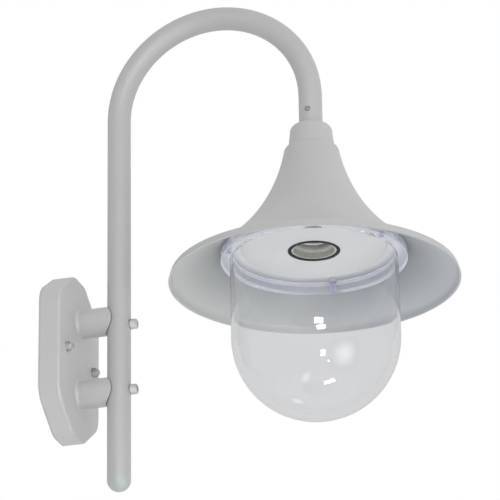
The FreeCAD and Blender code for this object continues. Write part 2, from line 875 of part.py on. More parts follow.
def make_cord_clamp():
    seat = plate_inside - mm.flex_plate_bend - flex_radius
    bar = box(mm.clamp_length, mm.clamp_thickness, mm.clamp_width,
              (ZERO, -(seat - mm.clamp_thickness / 2), mm.clamp_height - mm.clamp_width / 2))
    sides = [side * mm.clamp_screw_spacing / 2 for side in (-1, 1)]
    hole_depth = mm.clamp_thickness + mm.overrun * 2
    holes = [cylinder(mm.small_screw_diameter / 2 + mm.barrel_gap, hole_depth,
                      (across, -(seat + mm.overrun), mm.clamp_height), "Y") for across in sides]
    node("cord_clamp", cut(bar, *holes))
    top = seat - mm.clamp_thickness
    length = plate_inside - top
    node("clamp_screws", together(*[
        slotted_screw((across, -top, mm.clamp_height), mm.overrun, length, "Y") for across in sides]))


def make_earth():
    face = plate_inside - mm.earth_boss_height
    tag = cylinder(mm.tag_diameter / 2, mm.tag_thickness, (mm.earth_out, -face, -mm.earth_drop), "Y")
    hole = cylinder(mm.small_screw_diameter / 2, mm.tag_thickness + mm.overrun * 2,
                    (mm.earth_out, -(face + mm.overrun), -mm.earth_drop), "Y")
    node("earth_tag", cut(tag, hole))
    node("earth_screw", slotted_screw((mm.earth_out, -(face - mm.tag_thickness), -mm.earth_drop),
                                      mm.small_head_height, mm.earth_screw_length, "Y"))


# Wires: straight runs joined by tangent arcs

def along(points, radii):
    """A wire through the points, whose inner corners are arcs of the given radii."""
    vectors = [FreeCAD.Vector(*[as_dim(value).value for value in point]) for point in points]
    here = vectors[0]
    edges = []
    for before, corner, after, radius in zip(vectors, vectors[1:], vectors[2:], radii):
        back = (before - corner).normalize()
        ahead = (after - corner).normalize()
        half_turn = (math.pi - back.getAngle(ahead)) / 2
        setback = radius.value * math.tan(half_turn)
        start = corner + back * setback
        end = corner + ahead * setback
        bisector = (back + ahead).normalize()
        middle = corner + bisector * (radius.value / math.cos(half_turn) - radius.value)
        if (start - here).Length > dim_tolerance:
            edges.append(Part.LineSegment(here, start).toShape())
        edges.append(Part.Arc(start, middle, end).toShape())
        here = end
    if (vectors[-1] - here).Length > dim_tolerance:
        edges.append(Part.LineSegment(here, vectors[-1]).toShape())
    return Part.Wire(edges)


def cable(points, radii, diameter):
    """A round cable along a wire, with its volume compared with its section times its length."""
    path = along(points, radii)
    start = path.OrderedEdges[0]
    heading = start.tangentAt(start.FirstParameter)
    origin = start.valueAt(start.FirstParameter)
    ring = Part.Wire(Part.makeCircle(diameter.value / 2, origin, heading))
    solid = path.makePipeShell([ring], True, True)
    section = math.pi * diameter.value ** 2 / 4
    if abs(solid.Volume / (section * path.Length) - 1) > 0.02:
        raise RuntimeError("a cable's volume is not its section times its length")
    thing = doc.addObject("Part::Feature", "cable")
    thing.Shape = solid
    return thing


def make_inner_flex():
    """The sheathed flex from the cord clamp through the stub, the crook and the nipple."""
    drop = plate_inside - mm.flex_plate_bend
    crook_top = bend_centre + mm.bend_radius
    points = [
        (ZERO, -drop, flex_height - mm.flex_plate_bend - mm.flex_tail_length),
        (ZERO, -drop, flex_height),
        (ZERO, -mm.tube_standoff, flex_height),
        (ZERO, -mm.tube_standoff, crook_top),
        (ZERO, -head_reach, crook_top),
        (ZERO, -head_reach, nipple_foot),
    ]
    radii = [mm.flex_plate_bend, mm.flex_tube_bend, mm.bend_radius, mm.bend_radius]
    node("inner_flex", cable(points, radii, mm.flex_diameter))


def make_core_ends():
    """The flex's two cores where they leave its sheath, at the terminal block and at the
    lampholder, and the earth lead."""
    core_bend = mm.lead_diameter * CORE_BEND_SHARE
    top = flex_height - mm.flex_plate_bend - mm.flex_tail_length
    drop = plate_inside - mm.flex_plate_bend
    entry = block_top + mm.lead_diameter
    third = (top - entry) / 3
    level = holder_top + mm.terminal_height / 2
    for name, side, pole in zip(("live_core_ends", "neutral_core_ends"), (-1, 1), pole_places):
        start = side * mm.lead_pitch / 2
        to_block = [
            (start, -drop, top),
            (start, -drop, top - third),
            (pole, -pole_depth, entry),
            (pole, -pole_depth, barrel_top),
        ]
        to_holder = [
            (ZERO, start - head_reach, nipple_foot),
            (ZERO, start - head_reach, level),
            (ZERO, side * mm.terminal_offset - head_reach, level),
        ]
        node(name, together(
            cable(to_block, [core_bend, core_bend], mm.lead_diameter),
            cable(to_holder, [core_bend], mm.lead_diameter)))
    earth_pole = pole_places[-1]
    tag_level = plate_inside - mm.earth_boss_height - mm.tag_thickness / 2
    tag_side = mm.earth_out - mm.tag_diameter / 2
    points = [
        (earth_pole, -pole_depth, barrel_top),
        (earth_pole, -pole_depth, -mm.earth_drop),
        ((earth_pole + tag_side) / 2, -tag_level, -mm.earth_drop),
        (tag_side, -tag_level, -mm.earth_drop),
    ]
    node("earth_lead", cable(points, [core_bend, core_bend], mm.lead_diameter))


# Arm tube, its plug, and the two bolts that clamp it to the stubs

def crook(radius, tail):
    """The tube's centreline swept with one radius, as straight ends and a half ring."""
    lower = cylinder(radius, bend_centre + tail, (ZERO, -mm.tube_standoff, -tail))
    ring = doc.addObject("Part::Torus", "bend")
    bind(ring, "Radius1", mm.bend_radius)
    bind(ring, "Radius2", radius)
    ring.Angle3 = 180
    half_turn = FreeCAD.Rotation(FreeCAD.Vector(0, 0, 1), 90) * FreeCAD.Rotation(FreeCAD.Vector(1, 0, 0), 90)
    middle = mm.tube_standoff + mm.bend_radius
    ring.Placement = FreeCAD.Placement(FreeCAD.Vector(0, -middle.value, bend_centre.value), half_turn)
    bind(ring, "Placement.Base.y", -middle)
    bind(ring, "Placement.Base.z", bend_centre)
    return lower, ring


def make_arm_tube():
    tail = mm.tube_tail - tube_radius
    outer = crook(tube_radius, tail)
    end = cylinder(tube_radius, bend_centre - cap_top, (ZERO, -head_reach, cap_top))
    inner = crook(tube_inner, tail + mm.overrun)
    inner_end = cylinder(tube_inner, bend_centre - cap_top + mm.overrun,
                         (ZERO, -head_reach, cap_top - mm.overrun))
    bolt_hole = mm.bolt_diameter / 2 + mm.bolt_hole_gap
    holes = [cylinder(bolt_hole, mm.tube_diameter + mm.overrun * 2,
                      (ZERO, -(mm.tube_standoff - tube_radius - mm.overrun), height), "-Y")
             for height in bolt_heights]
    holes.append(cylinder(mm.flex_bore / 2, tube_radius + mm.overrun,
                          (ZERO, -mm.tube_standoff, flex_height), "Y"))
    holes.append(cylinder(mm.neck_screw_diameter / 2 + mm.thread_gap, tube_radius + mm.overrun,
                          (ZERO, -head_reach, cap_top + mm.neck_screw_rise), "-X"))
    hollow = cut(fuse(*outer, end), fuse(*inner, inner_end))
    return node("arm_tube", cut(hollow, *holes))


def make_end_plug():
    """A soft plastic plug: a dome below the tube's end and a ribbed spigot inside it."""
    seam = -(mm.tube_tail - tube_radius)
    spigot = tube_inner - mm.plug_gap
    hollow = spigot - mm.tube_wall
    top = seam + mm.plug_spigot_length
    lead_in = mm.tube_wall / 2
    points = [
        (ZERO, -mm.tube_tail),
        (tube_radius, seam, tube_radius, 1),
        (spigot, seam),
        (spigot, top - lead_in),
        (spigot - lead_in, top),
        (hollow, top),
        (hollow, seam),
        (ZERO, seam),
    ]
    return node("tube_end_plug", turned(points, (ZERO, -mm.tube_standoff, ZERO)))


def make_arm_bolts():
    bolts = []
    washers = []
    head_radius = mm.bolt_head_diameter / 2
    chamfer = mm.bolt_head_height / 8
    for height in bolt_heights:
        rim = bolt_seat + mm.bolt_head_height - chamfer
        barrel = cylinder(head_radius, mm.bolt_head_height - chamfer, (ZERO, -bolt_seat, height), "-Y")
        crown = cone(head_radius, head_radius - chamfer, chamfer, (ZERO, -rim, height), "-Y")
        shank = cylinder(mm.bolt_diameter / 2, mm.bolt_length, (ZERO, -bolt_seat, height), "Y")
        face = bolt_seat + mm.bolt_head_height
        socket = hexagon(mm.bolt_socket_width, mm.bolt_socket_depth + mm.overrun,
                         (ZERO, -(face + mm.overrun), height), "Y")
        bolts.append(cut(fuse(barrel, crown, shank), socket))
        crest = mm.tube_standoff + tube_radius
        disc = cylinder(mm.arm_washer_diameter / 2, mm.arm_washer_thickness, (ZERO, -crest, height), "-Y")
        bore = cylinder(mm.bolt_diameter / 2 + mm.thread_gap, mm.arm_washer_thickness + mm.overrun * 2,
                        (ZERO, mm.overrun - crest, height), "-Y")
        washers.append(cut(disc, bore))
    node("arm_washers", together(*washers))
    node("arm_bolts", together(*bolts))


# Neck cap, its screw, and the nipple that everything in the head hangs on

nipple_radius = mm.nipple_diameter / 2
nipple_top = cap_foot + mm.overrun + mm.cap_boss_length
crown_under = cap_foot - mm.shade_wall


def make_neck_cap():
    spigot = tube_inner - mm.spigot_gap
    bore = mm.cap_bore / 2
    top = cap_top
    foot = cap_foot
    shoulder = mm.cap_shoulder_radius
    waist = foot + mm.cap_waist_height
    ceiling = top - mm.cap_wall
    boss = mm.cap_boss_diameter / 2
    points = [
        (mm.cap_foot_radius, foot),
        (mm.cap_waist_radius, waist),
        (mm.cap_top_radius, top - shoulder),
        (mm.cap_top_radius - shoulder, top, shoulder, 1),
        (spigot, top),
        (spigot, top + mm.spigot_length),
        (bore, top + mm.spigot_length),
        (bore, nipple_top),
        (nipple_radius, nipple_top),
        (nipple_radius, nipple_top - mm.cap_boss_length),
        (boss, nipple_top - mm.cap_boss_length),
        (boss, ceiling),
        (mm.cap_top_radius - shoulder, ceiling),
        (mm.cap_top_radius - mm.cap_wall, top - shoulder),
        (mm.cap_waist_radius - mm.cap_wall, waist),
        (mm.cap_foot_radius - mm.cap_wall, foot),
    ]
    cap = turned(points, head)
    hole = cylinder(mm.neck_screw_diameter / 2, spigot + mm.overrun,
                    (ZERO, -head_reach, top + mm.neck_screw_rise), "-X")
    return node("neck_cap", cut(cap, hole))


def cross_recess(at, axis):
    """A cross cut into a screw head, at the point where its face is."""
    x, y, z = at
    depth = mm.cross_depth * 2
    if axis == "-X":
        arms = [box(depth, mm.cross_length, mm.cross_width, (x, y, z - mm.cross_width / 2)),
                box(depth, mm.cross_width, mm.cross_length, (x, y, z - mm.cross_length / 2))]
    else:
        arms = [box(mm.cross_length, mm.cross_width, depth, (x, y, z - depth / 2)),
                box(mm.cross_width, mm.cross_length, depth, (x, y, z - depth / 2))]
    return arms


def make_neck_screw():
    height = cap_top + mm.neck_screw_rise
    y = -head_reach
    face = tube_radius + mm.neck_screw_head_height
    shank = cylinder(mm.neck_screw_diameter / 2, mm.neck_screw_length + mm.neck_screw_head_height,
                     (-(tube_radius - mm.neck_screw_length), y, height), "-X")
    rim = mm.neck_screw_head / 2
    button = cone(rim, rim * NECK_SCREW_FACE_SHARE, mm.neck_screw_head_height,
                  (-tube_radius, y, height), "-X")
    curve = cylinder(tube_radius, mm.neck_screw_head * 2, (ZERO, y, height - mm.neck_screw_head))
    shim = cylinder(mm.neck_screw_head / 2, tube_radius / 2, (-tube_radius / 2, y, height), "-X")
    seat = cut(shim, curve)
    scale = mm.neck_screw_head / mm.dome_screw_head
    depth = mm.cross_depth * scale
    arms = [box(depth * 2, mm.cross_length * scale, mm.cross_width * scale,
                (-face, y, height - mm.cross_width * scale / 2)),
            box(depth * 2, mm.cross_width * scale, mm.cross_length * scale,
                (-face, y, height - mm.cross_length * scale / 2))]
    return node("neck_screw", cut(fuse(shank, button, seat), *arms))


def nut_on_nipple(base):
    body = hexagon(mm.nipple_nut_width, mm.nipple_nut_height, (ZERO, -head_reach, base))
    bore = cylinder(nipple_radius, mm.nipple_nut_height + mm.overrun * 2,
                    (ZERO, -head_reach, base - mm.overrun))
    return cut(body, bore)


def make_nipple():
    length = nipple_top - nipple_foot
    outer = cylinder(nipple_radius, length, (ZERO, -head_reach, nipple_foot))
    bore = cylinder(mm.nipple_bore / 2, length + mm.overrun * 2,
                    (ZERO, -head_reach, nipple_foot - mm.overrun))
    node("threaded_nipple", cut(outer, bore))
    disc = cylinder(mm.shade_washer_diameter / 2, mm.shade_washer_thickness,
                    (ZERO, -head_reach, crown_under - mm.shade_washer_thickness))
    hole = cylinder(nipple_radius, mm.shade_washer_thickness + mm.overrun * 2,
                    (ZERO, -head_reach, crown_under - mm.shade_washer_thickness - mm.overrun))
    node("shade_washer", cut(disc, hole))
    node("shade_nut", nut_on_nipple(crown_under - mm.shade_washer_thickness - mm.nipple_nut_height))
    upper = nut_on_nipple(bracket_top)
    lower = nut_on_nipple(bracket_top - mm.bracket_thickness - mm.nipple_nut_height)
    node("bracket_nuts", together(upper, lower))


# Shade

def shade_outline():
    """The shade's wall: crown, rounded shoulder, one flaring arc and a turned-down lip."""
    rim = mm.rim_height
    inner_top = flare_top_radius - mm.shade_wall
    inner_foot = flare_foot_radius - mm.shade_wall
    hole = nipple_radius + mm.crown_hole_gap
    third = mm.shoulder_width / 3
    return [
        (hole, cap_foot),
        (hole, crown_under),
        (inner_top - mm.shade_wall, crown_under),
        (inner_top, flare_height_at(inner_top, inner_flare_radius)),
        (inner_foot, flare_height_at(inner_foot, inner_flare_radius), inner_flare_radius, 1),
        (mm.rim_radius - mm.shade_wall, rim),
        (mm.rim_radius, rim),
        (flare_foot_radius, flare_foot),
        (flare_top_radius, flare_top, flare_radius, -1),
        (flare_top_radius - third, cap_foot - third, mm.shoulder_width * 3, 1),
        (mm.cap_foot_radius, cap_foot),
    ]


def envelope_outline():
    """The solid that the shade's wall goes round, up to the middle of that wall."""
    middle = flare_radius + mm.shade_wall / 2
    top = flare_top_radius * 2
    return [
        (ZERO, flare_foot),
        (flare_at(flare_foot, middle), flare_foot),
        (top, flare_height_at(top, middle), middle, -1),
        (ZERO, flare_height_at(top, middle)),
    ]


def dome_screw_places():
    """The screws' places on their circle, about the lamp's own axis."""
    for number in range(DOME_SCREW_COUNT):
        angle = math.radians(DOME_SCREW_TURN + 360.0 * number / DOME_SCREW_COUNT)
        yield boss_circle_radius * math.cos(angle), boss_circle_radius * math.sin(angle) - head_reach


def make_shade():
    wall = turned(shade_outline(), head)
    round_edges(wall, mm.lip_outer_round_radius, on_ring(flare_foot_radius))
    round_edges(wall, mm.lip_inner_round_radius, on_ring(flare_foot_radius - mm.shade_wall))
    bosses = []
    holes = []
    height = flare_height_at(boss_circle_radius - mm.boss_diameter, flare_radius) - flange_top
    for x, y in dome_screw_places():
        post = cylinder(mm.boss_diameter / 2, height, (x, y, flange_top))
        envelope = turned(envelope_outline(), head)
        bosses.append(common(post, envelope))
        holes.append(cylinder(mm.dome_screw_diameter / 2, mm.boss_hole_depth + mm.overrun,
                              (x, y, flange_top - mm.overrun)))
    return node("shade", cut(fuse(wall, *bosses), *holes))


# Clear dome and its screws

screw_seat = flange_foot + mm.dome_screw_recess_depth


def make_dome():
    """A deep round-ended cup whose flange is a solid collar, with a recess for each screw's head."""
    bottom = flange_top - mm.dome_height
    low_centre = bottom + mm.dome_radius
    inner = mm.dome_radius - mm.dome_wall
    points = [
        (ZERO, bottom),
        (mm.dome_radius, low_centre, mm.dome_radius, 1),
        (mm.dome_radius, flange_foot),
        (flange_radius, flange_foot),
        (flange_radius, flange_top - mm.flange_chamfer),
        (flange_radius - mm.flange_chamfer, flange_top),
        (inner, flange_top),
        (inner, low_centre),
        (ZERO, bottom + mm.dome_wall, inner, -1),
    ]
    body = turned(points, head)
    hole = (mm.dome_screw_diameter + mm.dome_screw_hole_gap) / 2
    recess = mm.dome_screw_head / 2 + mm.dome_screw_recess_gap
    tools = []
    for x, y in dome_screw_places():
        tools.append(cylinder(hole, mm.flange_height + mm.overrun * 2, (x, y, flange_foot - mm.overrun)))
        tools.append(cylinder(recess, mm.dome_screw_recess_depth + mm.overrun,
                              (x, y, flange_foot - mm.overrun)))
    return node("dome", cut(body, *tools))


def make_dome_screws():
    screws = []
    for x, y in dome_screw_places():
        face = screw_seat - mm.dome_screw_head_height
        lower = mm.dome_screw_head_height / 2
        edge = mm.dome_screw_head / 2
        pan = cone(edge * DOME_SCREW_FACE_SHARE, edge, lower, (x, y, face))
        rim = cylinder(edge, lower, (x, y, face + lower))
        shank = cylinder(mm.dome_screw_diameter / 2 - mm.thread_gap, mm.dome_screw_length,
                         (x, y, screw_seat))
        screws.append(cut(fuse(pan, rim, shank), *cross_recess((x, y, face), "Z")))
    return node("dome_screws", together(*screws))


# Lampholder

def make_holder_body():
    edge = mm.holder_edge
    points = [
        (mm.holder_mouth_bore, holder_mouth),
        (mm.holder_mouth_radius, holder_mouth),
        (mm.holder_mouth_radius, holder_shoulder),
        (mm.holder_radius, holder_shoulder),
        (mm.holder_radius, holder_top - edge),
        (mm.holder_radius - edge, holder_top, edge, 1),
        (ZERO, holder_top),
        (ZERO, floor),
        (mm.holder_bore, floor),
        (mm.holder_bore, mouth_step),
        (mm.holder_mouth_bore, mouth_step - edge),
    ]
    body = turned(points, head)
    tools = []
    for side in (-1, 1):
        tools.append(cylinder(mm.small_screw_diameter / 2, mm.bracket_screw_length + mm.overrun,
                              (side * mm.bracket_screw_offset, -head_reach,
                               holder_top - mm.bracket_screw_length)))
    tools.append(cylinder(mm.rivet_diameter / 2, mm.holder_floor / 2 + mm.overrun,
                          (mm.rivet_offset, -head_reach, floor - mm.overrun)))
    return node("holder_body", cut(body, *tools))


def make_thread_shell():
    """The threaded shell: a thin wall in even round waves of the thread's pitch, with a collar
    that turns in along the porcelain's floor."""
    half = mm.shell_pitch / 2
    swing = mm.shell_wave_depth / 2
    wave_radius = half * half / (swing * 8) + swing / 2
    middle = mm.shell_radius - swing
    bottom = mouth_step + mm.shell_clearance
    waves = [(middle, bottom)]
    for number in range(SHELL_TURNS):
        base = bottom + number * mm.shell_pitch
        waves.append((middle, base + half, wave_radius, 1))
        waves.append((middle, base + mm.shell_pitch, wave_radius, -1))
    inside = middle - mm.shell_wall
    flange = middle - mm.shell_flange_width
    lip = floor - mm.shell_wall
    collar = [(middle, floor), (flange, floor), (flange, lip), (inside, lip)]
    back = [(inside, waves[-1][1])]
    for before, wave in zip(reversed(waves[:-1]), reversed(waves)):
        back.append((inside, before[1], wave_radius, -wave[3]))
    return node("thread_shell", turned([*waves, *collar, *back], head))


def make_holder_ring():
    """A rubber ring snapped into the reflector's hole, with the holder's mouth pushed through it."""
    bore = mm.holder_mouth_radius + mm.ring_gap
    edge = mm.ring_flange_height / 2
    points = [
        (bore, ring_foot),
        (mm.ring_radius - edge, ring_foot),
        (mm.ring_radius, ring_foot + edge),
        (mm.ring_radius, reflector_under),
        (mm.ring_neck_radius, reflector_under),
        (mm.ring_neck_radius, reflector_top),
        (mm.ring_top_radius, reflector_top),
        (mm.ring_top_radius, holder_shoulder),
        (bore, holder_shoulder),
    ]
    return node("holder_ring", turned(points, head))


def make_reflector():
    """A thin disc round the lampholder, with its edge turned up for stiffness."""
    hole = mm.ring_neck_radius + mm.ring_gap
    outer = mm.reflector_radius
    sheet_thickness = mm.reflector_thickness
    points = [
        (hole, reflector_under),
        (outer - sheet_thickness, reflector_under),
        (outer, reflector_top, sheet_thickness, 1),
        (outer, reflector_top + mm.reflector_edge),
        (outer - sheet_thickness, reflector_top + mm.reflector_edge),
        (outer - sheet_thickness, reflector_top),
        (hole, reflector_top),
    ]
    return node("reflector_plate", turned(points, head))


def make_contacts():
    """The centre contact: a sprung tongue held under the head of a rivet in the floor."""
    y = -head_reach
    head_top = floor - mm.rivet_drop + mm.rivet_head_height + mm.tongue_seat_gap
    rivet = fuse(
        cylinder(mm.rivet_diameter / 2, mm.rivet_drop + mm.holder_floor / 2,
                 (mm.rivet_offset, y, floor - mm.rivet_drop)),
        cylinder(mm.rivet_head_diameter / 2, mm.rivet_head_height,
                 (mm.rivet_offset, y, floor - mm.rivet_drop)))
    node("contact_rivet", rivet)
    length = mm.tongue_length
    end = mm.rivet_offset + mm.rivet_head_diameter / 2
    strip = box(length, mm.tongue_width, mm.tongue_thickness, (end - length / 2, y, head_top))
    tip = cone(mm.tongue_tip_diameter / 4, mm.tongue_tip_diameter / 2, mm.tongue_tip_height,
               (ZERO, y, head_top - mm.tongue_tip_height))
    hole = cylinder(mm.rivet_diameter / 2 + mm.tongue_hole_gap, mm.tongue_thickness + mm.overrun,
                    (mm.rivet_offset, y, head_top - mm.overrun / 2))
    node("centre_contact", cut(fuse(strip, tip), hole))


def make_holder_bracket():
    y = -head_reach
    top = bracket_top
    sheet_thickness = mm.bracket_thickness
    span = mm.bracket_half_span
    reach = mm.bracket_foot_reach
    low = holder_top
    body = new_body((ZERO, y - mm.bracket_width / 2, ZERO))
    half = [
        (span, top),
        (span, low + sheet_thickness),
        (reach, low + sheet_thickness),
        (reach, low),
        (span - sheet_thickness, low),
        (span - sheet_thickness, top - sheet_thickness),
    ]
    mirrored = [(-across, up) for across, up in reversed(half)]
    sketch = outline(new_sketch(body, "XZ_Plane", -mm.bracket_width), [*half, *mirrored])
    pad(body, sketch, mm.bracket_width)
    nipple_hole = cylinder(nipple_radius, sheet_thickness + mm.overrun * 2,
                           (ZERO, y, top - sheet_thickness - mm.overrun))
    foot_holes = [cylinder(mm.small_screw_diameter / 2 + mm.barrel_gap, sheet_thickness + mm.overrun * 2,
                           (side * mm.bracket_screw_offset, y, low - mm.overrun)) for side in (-1, 1)]
    node("holder_bracket", cut(body, nipple_hole, *foot_holes))
    screws = []
    for side in (-1, 1):
        x = side * mm.bracket_screw_offset
        seat = low + sheet_thickness
        pan = cylinder(mm.small_head_diameter / 2, mm.small_head_height, (x, y, seat))
        shank = cylinder(mm.small_screw_diameter / 2, mm.bracket_screw_length,
                         (x, y, seat - mm.bracket_screw_length))
        slot = box(mm.slot_width, mm.small_head_diameter * 2, mm.slot_depth * 2,
                   (x, y, seat + mm.small_head_height - mm.slot_depth))
        screws.append(cut(fuse(pan, shank), slot))
    node("bracket_screws", together(*screws))


def make_holder_terminals():
    """Two brass terminals on the lampholder's back, with their clamping screws."""
    terminals = []
    screws = []
    level = holder_top + mm.terminal_height / 2
    screw_foot = level + mm.lead_diameter / 2
    screw_top = holder_top + mm.terminal_height + mm.terminal_screw_rise
    for side in (-1, 1):
        y = side * mm.terminal_offset - head_reach
        block = box(mm.terminal_width, mm.terminal_length, mm.terminal_height, (ZERO, y, holder_top))
        bore = cylinder(mm.lead_diameter / 2, mm.terminal_length / 2 + mm.overrun,
                        (ZERO, y - side * (mm.terminal_length / 2 + mm.overrun), level),
                        "Y" if side > 0 else "-Y")
        hole = cylinder(mm.terminal_screw_diameter / 2, mm.terminal_height, (ZERO, y, level))
        terminals.append(cut(block, bore, hole))
        screw = cylinder(mm.terminal_screw_diameter / 2, screw_top - screw_foot, (ZERO, y, screw_foot))
        slot = box(mm.slot_width, mm.terminal_screw_diameter * 2, mm.slot_depth * 2,
                   (ZERO, y, screw_top - mm.slot_depth))
        screws.append(cut(screw, slot))
    node("holder_terminals", together(*terminals))
    node("holder_terminal_screws", together(*screws))


def check_and_write():
    """Stop on any failed object, then write one file for each sub-part."""
    doc.recompute()
    for thing in doc.Objects:
        if "Invalid" in thing.State or "Error" in thing.State:
            raise RuntimeError("failed object: %s %s" % (thing.Name, thing.Label))
    for thing in nodes:
        if thing.Shape.isNull() or not thing.Shape.isValid() or not thing.Shape.Solids:
            raise RuntimeError("bad shape: " + thing.Label)
    os.makedirs("parts", exist_ok=True)
    for thing in nodes:
        thing.Shape.exportStep("parts/%s.step" % thing.Label)
        print(thing.Label, len(thing.Shape.Solids), "solids", round(thing.Shape.Volume, 1), "mm3")


make_wall_plate()
make_wall_gasket()
make_wall_bracket()
make_plate_fixings()
make_terminal_block()
make_terminal_metal()
make_cord_clamp()
make_earth()
make_inner_flex()
make_core_ends()
make_arm_tube()
make_end_plug()
make_arm_bolts()
make_neck_cap()
make_neck_screw()
make_nipple()
make_shade()
make_dome()
make_dome_screws()
make_holder_body()
make_thread_shell()
make_holder_ring()
make_reflector()
make_contacts()
make_holder_bracket()
make_holder_terminals()
check_and_write()
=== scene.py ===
"""An outdoor wall lamp: the looks of its paint, steel, porcelain and clear dome."""
import json
import math

import bmesh
import bpy
from mathutils import Euler, Matrix, Vector


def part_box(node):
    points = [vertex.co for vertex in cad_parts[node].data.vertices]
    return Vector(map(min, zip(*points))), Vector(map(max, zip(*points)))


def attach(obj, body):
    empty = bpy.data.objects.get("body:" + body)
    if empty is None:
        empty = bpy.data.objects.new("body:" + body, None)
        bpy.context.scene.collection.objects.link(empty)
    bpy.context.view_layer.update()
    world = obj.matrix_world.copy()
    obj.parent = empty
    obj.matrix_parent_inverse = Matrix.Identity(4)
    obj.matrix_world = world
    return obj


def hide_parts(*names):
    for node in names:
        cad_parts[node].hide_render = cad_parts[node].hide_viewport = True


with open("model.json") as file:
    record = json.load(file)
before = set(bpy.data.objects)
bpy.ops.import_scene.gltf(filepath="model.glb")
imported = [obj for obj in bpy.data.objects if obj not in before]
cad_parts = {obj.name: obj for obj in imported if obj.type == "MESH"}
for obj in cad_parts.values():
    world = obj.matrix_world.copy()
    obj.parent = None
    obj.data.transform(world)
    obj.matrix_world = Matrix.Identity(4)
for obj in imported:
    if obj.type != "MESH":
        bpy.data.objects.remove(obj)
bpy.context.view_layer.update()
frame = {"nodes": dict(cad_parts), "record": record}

nodes = frame["nodes"]
MM = 0.001
BLACK = (0, 0, 0, 1)
WHITE = (1, 1, 1, 1)


# Places taken from the frame

def middle(node):
    """The middle of a node's box."""
    low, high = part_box(node)
    return (low + high) / 2


def half_width(node):
    """Half of a node's width."""
    low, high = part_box(node)
    return (high.x - low.x) / 2


HEAD = middle("neck_cap")
TUBE = middle("tube_end_plug")
TUBE_RADIUS = half_width("tube_end_plug")
DOME_LOW, DOME_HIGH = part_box("dome")


# The dome's section: its wall, its solid collar with a chamfer above and small round edges, and the
# stepped holes in the collar for the screws.

DOME_WALL = 2.0 * MM
COLLAR_RADIUS = half_width("dome")
COLLAR_WIDTH = 7.6 * MM
COLLAR_HEIGHT = 8.0 * MM
COLLAR_CHAMFER = 1.4 * MM
COLLAR_EDGE = 0.6 * MM
COLLAR_FOOT = DOME_HIGH.z - COLLAR_HEIGHT
RECESS_RADIUS = 2.8 * MM
RECESS_DEPTH = 4.0 * MM
HOLE_RADIUS = 1.7 * MM
DOME_SCREWS = 3


# Shader maths: a socket that takes part in plain expressions

class Socket:
    """One output of a material's tree. Its operators add Math nodes."""

    def __init__(self, finish, output):
        self.finish = finish
        self.output = output

    def maths(self, operation, *values):
        return self.finish.node("Math", {"operation": operation}, dict(enumerate(values)))

    def __add__(self, other):
        return self.maths("ADD", self, other)

    def __radd__(self, other):
        return self.maths("ADD", other, self)

    def __sub__(self, other):
        return self.maths("SUBTRACT", self, other)

    def __rsub__(self, other):
        return self.maths("SUBTRACT", other, self)

    def __mul__(self, other):
        return self.maths("MULTIPLY", self, other)

    def __rmul__(self, other):
        return self.maths("MULTIPLY", other, self)

    def __pow__(self, other):
        return self.maths("POWER", self, other)

    def __rpow__(self, other):
        return self.maths("POWER", other, self)

    def at_most(self, other):
        return self.maths("MINIMUM", self, other)

    def at_least(self, other):
        return self.maths("MAXIMUM", self, other)

    def size(self):
        """The value without its sign."""
        return self.maths("ABSOLUTE", self)

    def between(self, low, high):
        """0 below low, 1 above high, and a smooth rise between them."""
        settings = {"interpolation_type": "SMOOTHSTEP"}
        return self.finish.node("MapRange", settings, {"Value": self, "From Min": low, "From Max": high})

    def past(self, place, softness):
        """0 before a place and 1 after it, with a smooth rise as wide as softness on each side."""
        return self.between(place - softness, place + softness)


class Finish:
    """A material, or the world, whose nodes all come from one method."""

    def __init__(self, name, owner=None):
        self.owner = owner or bpy.data.materials.new(name)
        self.owner.use_nodes = True
        self.tree = self.owner.node_tree
        self.tree.nodes.clear()

    def node(self, kind, settings=None, values=None, out=0):
        """Add a node, make its settings, then give its sockets their values or links."""
        made = self.tree.nodes.new("ShaderNode" + kind)
        for name, value in (settings or {}).items():
            setattr(made, name, value)
        for name, value in (values or {}).items():
            if isinstance(value, Socket):
                self.tree.links.new(value.output, made.inputs[name])
            else:
                made.inputs[name].default_value = value
        return Socket(self, made.outputs[out]) if made.outputs else made

    def point(self):
        """The place on the object, in metres."""
        return self.node("TexCoord", out="Object")

    def part(self, axis):
        """One coordinate of the place on the object."""
        return self.node("SeparateXYZ", values={0: self.point()}, out=axis)

    def from_axis(self, axis):
        """How far the place on the object is from an upright axis."""
        across = self.part("X") - axis.x
        out = self.part("Y") - axis.y
        return (across * across + out * out) ** 0.5

    def stretched(self, shares):
        """The place on the object, with each axis scaled."""
        return self.node("VectorMath", {"operation": "MULTIPLY"}, {0: self.point(), 1: shares})

    def noise(self, scale, detail=2.0, roughness=0.5, vector=None):
        """Noise from 0 to 1, with a given number of grains to the metre."""
        values = {"Vector": vector or self.point(), "Scale": scale, "Detail": detail, "Roughness": roughness}
        return self.node("TexNoise", values=values)

    def mix(self, share, first, second):
        """A colour between two colours."""
        settings = {"data_type": "RGBA"}
        return self.node("Mix", settings, {0: share, 6: first, 7: second}, out=2)

    def tinted(self, share, colour, tint):
        """A colour multiplied by a tint, as far as the share says."""
        settings = {"data_type": "RGBA", "blend_type": "MULTIPLY"}
        return self.node("Mix", settings, {0: share, 6: colour, 7: tint}, out=2)

    def bump(self, height, distance, strength=1.0):
        return self.node("Bump", values={"Height": height, "Distance": distance, "Strength": strength})

    def surface(self, **sockets):
        """The Principled shader, and its way out."""
        values = {name.replace("_", " "): value for name, value in sockets.items()}
        shader = self.node("BsdfPrincipled", values=values)
        return self.finish_with(shader)

    def finish_with(self, shader):
        kind = "OutputWorld" if isinstance(self.owner, bpy.types.World) else "OutputMaterial"
        self.node(kind, values={0: shader})
        return self.owner


def grey(level, warm=0.0):
    """A near-neutral colour; warm above 0 leans to cream, below 0 to blue."""
    return (level * (1 + warm), level, level * (1 - warm), 1)


# Paint

